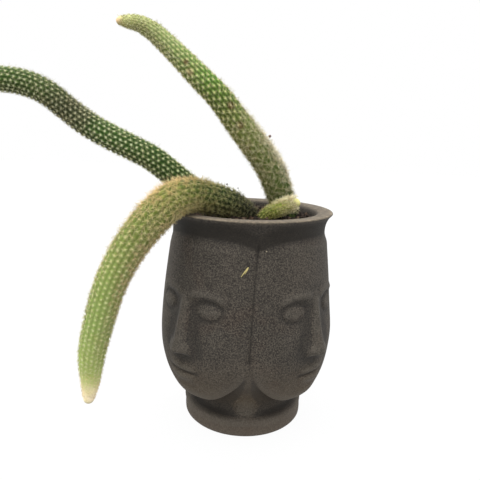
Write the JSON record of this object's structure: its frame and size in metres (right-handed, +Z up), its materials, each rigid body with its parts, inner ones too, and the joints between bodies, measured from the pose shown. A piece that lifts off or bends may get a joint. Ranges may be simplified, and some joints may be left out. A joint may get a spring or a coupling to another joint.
{
  "type": "potted monkey tail cactus",
  "caption": "Monkey tail cactus with long ribbed bristly stems, some rising and some trailing, in a stoneware pot with a flared rim, heads in relief and a footed base.",
  "frame": {"origin": "centre of the flat underside of the pot's foot", "axes": "+Z up, -Y is the front with a seam between two heads, +X to the right, away from the long stem"},
  "size_m": [0.3242, 0.1345, 0.296],
  "materials": {
    "stoneware": "unglazed, fine speckled grain, matte",
    "soil": "loose crumbs of potting mix, matte",
    "stem_light": "ribbed green skin with pale areoles and straw-coloured spines",
    "stem_dark": "ribbed dark green skin with cream areoles and short spines",
    "shoot": "young yellow-green skin under dense pale bristles"
  },
  "bodies": {
    "root": {"pot": "stoneware", "soil": "soil", "stem_upright": "stem_light", "stem_left": "stem_dark", "stem_trailing": "stem_light", "shoot_young": "shoot"}
  },
  "joints": []
}
